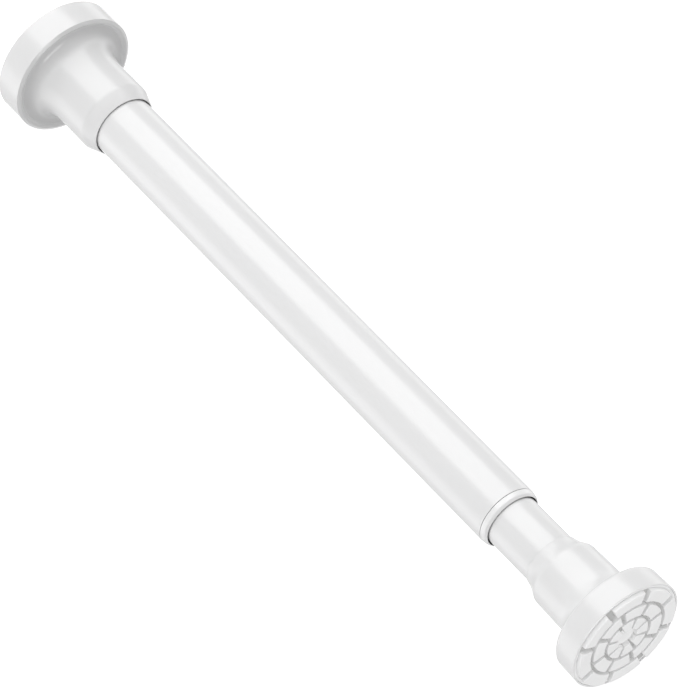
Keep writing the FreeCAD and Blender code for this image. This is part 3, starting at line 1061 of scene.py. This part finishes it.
@dataclass
class Thread:
    """A threaded shank made as one wound surface, rising from height 0."""

    radius: float
    depth: float
    pitch: float
    length: float
    point: float = 0.0
    tip: float = 0.25
    segments: int = 28
    rows_per_turn: int = 8

    def build(self, name: str) -> Piece:
        """The shank as a piece.

        Args:
            name: the piece's name.

        Returns:
            The piece.
        """
        work = bmesh.new()
        rows = int(self.length / self.pitch * self.rows_per_turn)
        rings = []
        for row in range(rows + 1):
            height = self.length * row / rows
            taper = 1.0
            if self.point and height > self.length - self.point:
                taper = self.tip + (1 - self.tip) * (self.length - height) / self.point
            ring = []
            for k in range(self.segments):
                phase = (height / self.pitch - k / self.segments) % 1.0
                crest = abs(phase * 2 - 1)
                runout = min(1.0, height / self.pitch, (self.length - height) / self.pitch)
                radius = (self.radius - self.depth * (1 - crest * runout)) * taper
                angle = FULL_TURN * k / self.segments
                ring.append(work.verts.new((radius * MM * math.cos(angle), radius * MM * math.sin(angle),
                                            height * MM)))
            rings.append(ring)
        skin(work, rings)
        return finished(name, work)


def prism(name: str, flats: float, low: float, high: float, sink: float = 0.0) -> Piece:
    """Hexagonal prism with two corners on X and eased ends.

    Args:
        name: the piece's name.
        flats: size across the flats.
        low: lowest height.
        high: highest height.
        sink: height of the chamfer at each end.

    Returns:
        The piece.
    """
    work = bmesh.new()
    corner = flats / math.sqrt(3)
    levels = [(corner - sink, low), (corner, low + sink), (corner, high - sink), (corner - sink, high)]
    angles = [FULL_TURN * k / HEX_SIDES for k in range(HEX_SIDES)]
    rings = [[work.verts.new((r * MM * math.cos(a), r * MM * math.sin(a), z * MM)) for a in angles]
             for r, z in levels]
    skin(work, rings)
    return finished(name, work)


@dataclass
class FootScrew:
    """Pan-head screw with its washer face at height 0 and the shank going up."""

    head: float = 3.5
    head_height: float = 2.3
    crown: float = 1.0
    crown_ease: float = 0.5
    seat_ease: float = 0.1
    neck_share: float = 0.45
    point: float = 2.4
    shank: float = 1.75
    length: float = 14.0
    pitch: float = 1.3
    depth: float = 0.4
    cross_width: float = 0.9
    cross_span: float = 3.6
    cross_depth: float = 1.1

    def cross(self, height: float) -> list[Vector]:
        """The twelve corners of the cross recess.

        Args:
            height: the height to give them.

        Returns:
            The corners in order, in metres.
        """
        arm = self.cross_span / 2
        half = self.cross_width / 2
        quarter = [(arm, -half), (arm, half), (half, half)]
        corners = []
        for k in range(4):
            turn = Matrix.Rotation(math.pi / 2 * k, 3, "Z")
            corners += [turn @ Vector((x, y, height)) * MM for x, y in quarter]
        return corners

    def build_head(self) -> Piece:
        """The head, with its recess cut into the crown.

        Returns:
            The head.
        """
        low = -self.head_height
        neck = self.head * self.neck_share
        corners = [Corner(0, OVERLAP), Corner(neck, OVERLAP), Corner(neck, 0),
                   Corner(self.head, 0, self.seat_ease),
                   Corner(self.head, low + self.crown, self.crown_ease), Corner(self.head - self.crown, low)]
        work = bmesh.new()
        work.from_mesh(self.taken(turned("head", eased(corners, False), False, SMALL_SEGMENTS)))
        rim = [edge for edge in work.edges if edge.is_boundary]
        mouth = [work.verts.new(p) for p in self.cross(low)]
        floor = [work.verts.new(p) for p in self.cross(low + self.cross_depth)]
        count = len(mouth)
        edges = [work.edges.new((mouth[k], mouth[(k + 1) % count])) for k in range(count)]
        bmesh.ops.triangle_fill(work, use_beauty=True, edges=rim + edges)
        skin(work, [mouth, floor], ends=False)
        work.faces.new(floor)
        return finished("head", work)

    def taken(self, piece: Piece) -> bpy.types.Mesh:
        """The mesh of a piece, whose object is removed.

        Args:
            piece: the piece.

        Returns:
            Its mesh.
        """
        mesh = piece.data
        bpy.data.objects.remove(piece)
        return mesh

    def build(self, name: str) -> Piece:
        """The screw as one piece."""
        shank = Thread(self.shank, self.depth, self.pitch, self.length, self.point).build("shank")
        return joined(name, [self.build_head(), shank])


@dataclass
class HeadScrew:
    """Screw with a round head and a round socket, head up."""

    head_height: float = 2.4
    under_ease: float = 0.2
    top_ease: float = 0.3
    socket: float = 1.25
    socket_floor: float = 0.9
    socket_depth: float = 1.4
    shank: float = 2.0
    depth: float = 0.35
    pitch: float = 0.7

    def build(self, name: str, low: float, high: float, radius: float) -> Piece:
        """The screw as one piece.

        Args:
            name: the piece's name.
            low: height of the shank's end.
            high: height of the head's top.
            radius: radius of the head.

        Returns:
            The piece.
        """
        under = high - self.head_height
        floor = high - self.socket_depth
        corners = [Corner(0, under), Corner(radius, under, self.under_ease),
                   Corner(radius, high, self.top_ease), Corner(self.socket, high),
                   Corner(self.socket * self.socket_floor, floor), Corner(0, floor)]
        head = turned("head", eased(corners, False), False, SMALL_SEGMENTS)
        shank = Thread(self.shank, self.depth, self.pitch, under - low + OVERLAP).build("shank")
        return joined(name, [head, lifted(shank, low)])


@dataclass
class LockUnit(Assembly):
    """The locking screw and the pieces that it carries."""

    thread_radius: float = 4.0
    thread_depth: float = 0.68
    thread_segments: int = 36
    pitch: float = 1.25
    shoulder: float = 7.0
    shoulder_height: float = 2.0
    shoulder_ease: float = 0.25
    flats: float = 8.0
    bar_chamfer: float = 0.3

    def build_spindle(self) -> None:
        """Makes the locking screw with its thread, shoulder and hexagon."""
        low, high, _ = self.reach("spindle")
        shoulder_low = self.reach("thrust_washer")[1]
        shoulder_high = shoulder_low + self.shoulder_height
        thread = Thread(self.thread_radius, self.thread_depth, self.pitch, shoulder_low - low + OVERLAP,
                        segments=self.thread_segments).build("thread")
        collar = [Corner(0, shoulder_low), Corner(self.shoulder, shoulder_low, self.shoulder_ease),
                  Corner(self.shoulder, shoulder_high, self.shoulder_ease), Corner(0, shoulder_high)]
        parts = [lifted(thread, low), turned("shoulder", eased(collar, False), False, SMALL_SEGMENTS),
                 prism("bar", self.flats, shoulder_high - OVERLAP, high, self.bar_chamfer)]
        self.seat(joined("spindle_threaded", parts), Slot.ZINC, "spindle")

    def build_head_screw(self) -> None:
        """Makes the screw that holds the spring seat on the hexagon."""
        screw = HeadScrew().build("head_screw_threaded", *self.reach("head_screw"))
        self.seat(screw, Slot.ZINC, "head_screw")

    def build(self) -> None:
        """Makes the threaded pieces and dresses the rest."""
        self.build_spindle()
        self.build_head_screw()
        for node in ("thrust_washer", "stop_nut", "plunger_head"):
            self.dress(node, Slot.ZINC)


@dataclass
class CoilSpring(Assembly):
    """The compression spring, with closed and ground ends."""

    wire: float = 1.0
    mean: float = 8.5
    active_turns: int = 8
    dead_turns: int = 1
    steps_per_turn: int = 36
    section_steps: int = 14
    travel: float = 20.0

    def height(self, turn: float, length: float) -> float:
        """Height of the wire's centre above the lower seat.

        Args:
            turn: turns from the wire's lower end.
            length: the spring's length.

        Returns:
            The height.
        """
        dead_rise = 2 * self.wire * self.dead_turns
        open_rise = length - 2 * self.wire - 2 * dead_rise
        last = self.active_turns + self.dead_turns
        if turn <= self.dead_turns:
            return self.wire + 2 * self.wire * turn
        if turn >= last:
            return self.wire + dead_rise + open_rise + 2 * self.wire * (turn - last)
        return self.wire + dead_rise + open_rise * (turn - self.dead_turns) / self.active_turns

    def build(self) -> None:
        """Winds the spring and gives it a mesh of its own."""
        low, high, _ = self.reach("tension_spring")
        length = high - low
        total = self.active_turns + 2 * self.dead_turns
        work = bmesh.new()
        rings = []
        for step in range(total * self.steps_per_turn + 1):
            turn = step / self.steps_per_turn
            angle = FULL_TURN * turn
            out = Vector((math.cos(angle), math.sin(angle), 0))
            centre = out * self.mean + Vector((0, 0, low + self.height(turn, length)))
            ring = []
            for k in range(self.section_steps):
                around = FULL_TURN * k / self.section_steps
                point = centre + (out * math.cos(around) + Vector((0, 0, 1)) * math.sin(around)) * self.wire
                point.z = min(max(point.z, low), high)
                ring.append(work.verts.new(point * MM))
            rings.append(ring)
        skin(work, rings)
        spring = self.seat(finished("coil_spring", work), Slot.SPRING, "tension_spring")
        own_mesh(spring)


@dataclass
class Studio:
    """Plain pale floor, soft panels round the rod, and the camera at the photo's angle."""

    floor_half: float = 12.0
    focal: float = 249.2
    camera_place: Triple = (0.0, -1.681, 1.2118)
    camera_right: Triple = (-0.712742, 0.360413, 0.601749)
    camera_up: Triple = (-0.701427, -0.366120, -0.611520)
    overhead_size: float = 0.3
    overhead_height: float = 0.85
    overhead_radiance: float = 3.5
    zenith_level: float = 0.42
    front_glow: float = 1.25
    back_glow: float = 0.5
    below_level: float = 0.7
    steep_share: float = 0.5
    glow_turns: Point = (70.0, 140.0)
    glow_rises: Point = (0.1, 0.42)
    steep_depths: Point = (-0.85, -0.6)
    sensor: float = 36.0
    view_end: float = 50.0
    floor_squares: int = 8
    cards: tuple[Card, ...] = (
        Card(-176.0, 10.0, 12.0, 1.3),
        Card(-126.0, 12.0, 16.0, 1.2),
        Card(-30.0, 36.0, 16.0, 2.7),
        Card(92.0, 20.0, 22.0, 1.45),
        Card(172.0, 8.0, 14.0, 1.3),
    )

    def build_floor(self) -> None:
        """Lays the floor, which gloss does not see."""
        work = bmesh.new()
        bmesh.ops.create_grid(work, x_segments=self.floor_squares, y_segments=self.floor_squares,
                              size=self.floor_half)
        floor = finished("floor", work)
        floor.data.materials.append(FloorPaint().material())
        floor.visible_glossy = False

    def math_node(self, tree: bpy.types.NodeTree, operation: str, first: Socket | float,
                  second: Socket | float = 0.0) -> Socket:
        """One sum on sockets or numbers.

        Args:
            tree: the world's nodes.
            operation: the sum's name.
            first: its first value.
            second: its second value, where it has one.

        Returns:
            The result.
        """
        node = tree.nodes.new("ShaderNodeMath")
        node.operation = operation
        for socket, value in zip(node.inputs, (first, second)):
            if isinstance(value, Socket):
                tree.links.new(value, socket)
            else:
                socket.default_value = value
        return node.outputs[0]

    def soft_step(self, tree: bpy.types.NodeTree, value: Socket, start: Point, end: Point) -> Socket:
        """A level that changes softly between two places.

        Args:
            tree: the world's nodes.
            value: the place.
            start: (place, level) where the change begins.
            end: (place, level) where it ends.

        Returns:
            The level.
        """
        node = tree.nodes.new("ShaderNodeMapRange")
        node.interpolation_type = "SMOOTHSTEP"
        node.inputs["From Min"].default_value, node.inputs["To Min"].default_value = start
        node.inputs["From Max"].default_value, node.inputs["To Max"].default_value = end
        tree.links.new(value, node.inputs["Value"])
        return node.outputs["Result"]

    def build_world(self) -> None:
        """Sets a sky that glows low down in front, and cards below it that only gloss finds."""
        world = bpy.data.worlds.new("studio_world")
        world.use_nodes = True
        tree = world.node_tree
        sky = tree.nodes["Background"]
        sky.inputs["Color"].default_value = (1.0, 1.0, 1.0, 1.0)
        split = tree.nodes.new("ShaderNodeSeparateXYZ")
        tree.links.new(tree.nodes.new("ShaderNodeTexCoord").outputs["Generated"], split.inputs["Vector"])
        rise = split.outputs["Z"]
        ahead = self.math_node(tree, "MULTIPLY", split.outputs["Y"], -1.0)
        bearing = self.math_node(tree, "ARCTAN2", split.outputs["X"], ahead)
        away = self.math_node(tree, "ABSOLUTE", bearing)
        front, back = (math.radians(turn) for turn in self.glow_turns)
        around = self.soft_step(tree, away, (front, self.front_glow), (back, self.back_glow))
        low_down = self.soft_step(tree, rise, (self.glow_rises[0], 1.0), (self.glow_rises[1], 0.0))
        glow = self.math_node(tree, "MULTIPLY", around, low_down)
        above = self.math_node(tree, "ADD", glow, self.zenith_level)
        steep, shallow = self.steep_depths
        depth = self.soft_step(tree, rise, (steep, self.steep_share), (shallow, 1.0))
        below = self.math_node(tree, "MULTIPLY", self.add_cards(tree, bearing), depth)
        choose = tree.nodes.new("ShaderNodeMix")
        tree.links.new(self.math_node(tree, "LESS_THAN", rise, 0.0), choose.inputs["Factor"])
        tree.links.new(above, choose.inputs["A"])
        tree.links.new(below, choose.inputs["B"])
        tree.links.new(choose.outputs["Result"], sky.inputs["Strength"])
        bpy.context.scene.world = world

    def add_cards(self, tree: bpy.types.NodeTree, bearing: Socket) -> Socket:
        """Adds each card's light to the level below the horizon.

        Args:
            tree: the world's nodes.
            bearing: angle round the rod, in radians.

        Returns:
            The level in that direction.
        """
        level: Socket | float = self.below_level
        for card in self.cards:
            away = self.math_node(tree, "SUBTRACT", bearing, math.radians(card.bearing))
            inside = math.radians(card.spread - card.fade / 2)
            outside = math.radians(card.spread + card.fade / 2)
            band = self.soft_step(tree, self.math_node(tree, "ABSOLUTE", away),
                                  (inside, card.radiance - self.below_level), (outside, 0.0))
            level = self.math_node(tree, "ADD", band, level)
        return level

    def build_overhead(self) -> None:
        """Hangs one soft panel over the rod."""
        lamp = bpy.data.lights.new("overhead_panel", "AREA")
        lamp.shape = "SQUARE"
        lamp.size = self.overhead_size
        lamp.energy = math.pi * self.overhead_radiance * self.overhead_size ** 2
        holder = bpy.data.objects.new("overhead_panel", lamp)
        holder.location = (0, 0, self.overhead_height)
        holder.visible_camera = False
        bpy.context.scene.collection.objects.link(holder)

    def build_camera(self) -> None:
        """Sets the camera where the photo was taken from."""
        lens = bpy.data.cameras.new("photo_view")
        lens.sensor_width = self.sensor
        lens.lens = self.focal
        lens.clip_end = self.view_end
        camera = bpy.data.objects.new("photo_view", lens)
        right = Vector(self.camera_right).normalized()
        up = Vector(self.camera_up)
        up = (up - right * up.dot(right)).normalized()
        basis = Matrix((right, up, right.cross(up))).transposed()
        camera.matrix_world = Matrix.Translation(self.camera_place) @ basis.to_4x4()
        bpy.context.scene.collection.objects.link(camera)
        bpy.context.scene.camera = camera

    def build(self) -> None:
        """Makes the studio."""
        self.build_floor()
        self.build_world()
        self.build_overhead()
        self.build_camera()
        bpy.context.scene.view_settings.view_transform = "Standard"


BASE_FOOT = FootSizes(rim=29.25, back=29.1, flange_depth=13.6, edge_round=0.3, neck_low=17.3,
                      neck_high=17.3, neck_start=29.4, neck_end=44.5, mouth=14.75, tube=14.0,
                      waist=0.0, lip=2.1, dish_drop=0.8, flare_fullness=2.6)
TOP_FOOT = FootSizes(rim=26.2, back=26.0, flange_depth=12.2, edge_round=2.0, neck_low=16.1,
                     neck_high=15.7, neck_start=22.5, neck_end=38.0, mouth=12.5, tube=12.0, waist=0.6)


def main() -> None:
    """Builds the rod, sub-assembly by sub-assembly, and then the studio."""
    logging.basicConfig(level=logging.INFO, format="%(name)s: %(message)s")
    finishes = Finishes()
    Foot(finishes, "outer", End.DOWN, BASE_FOOT, "base").build()
    Tubes(finishes, "outer").build("outer_tube")
    Collar(finishes, "outer").build()
    Assembly(finishes, "sleeve").dress("expander_sleeve", Slot.GRIP)
    Assembly(finishes, "wedge").dress("wedge_nut", Slot.GRIP)
    LockUnit(finishes, "spindle").build()
    CoilSpring(finishes, "spindle").build()
    inner = Tubes(finishes, "inner")
    crimps = []
    for node in ("guide_bush", "spring_stop"):
        high = inner.reach(node)[1]
        inner.dress(node, Slot.PLUG)
        crimps.append(high - inner.crimp_drop)
    inner.build("inner_tube", tuple(crimps))
    Foot(finishes, "inner", End.UP, TOP_FOOT, "top").build()
    Studio().build()


if __name__ == "__main__":
    main()
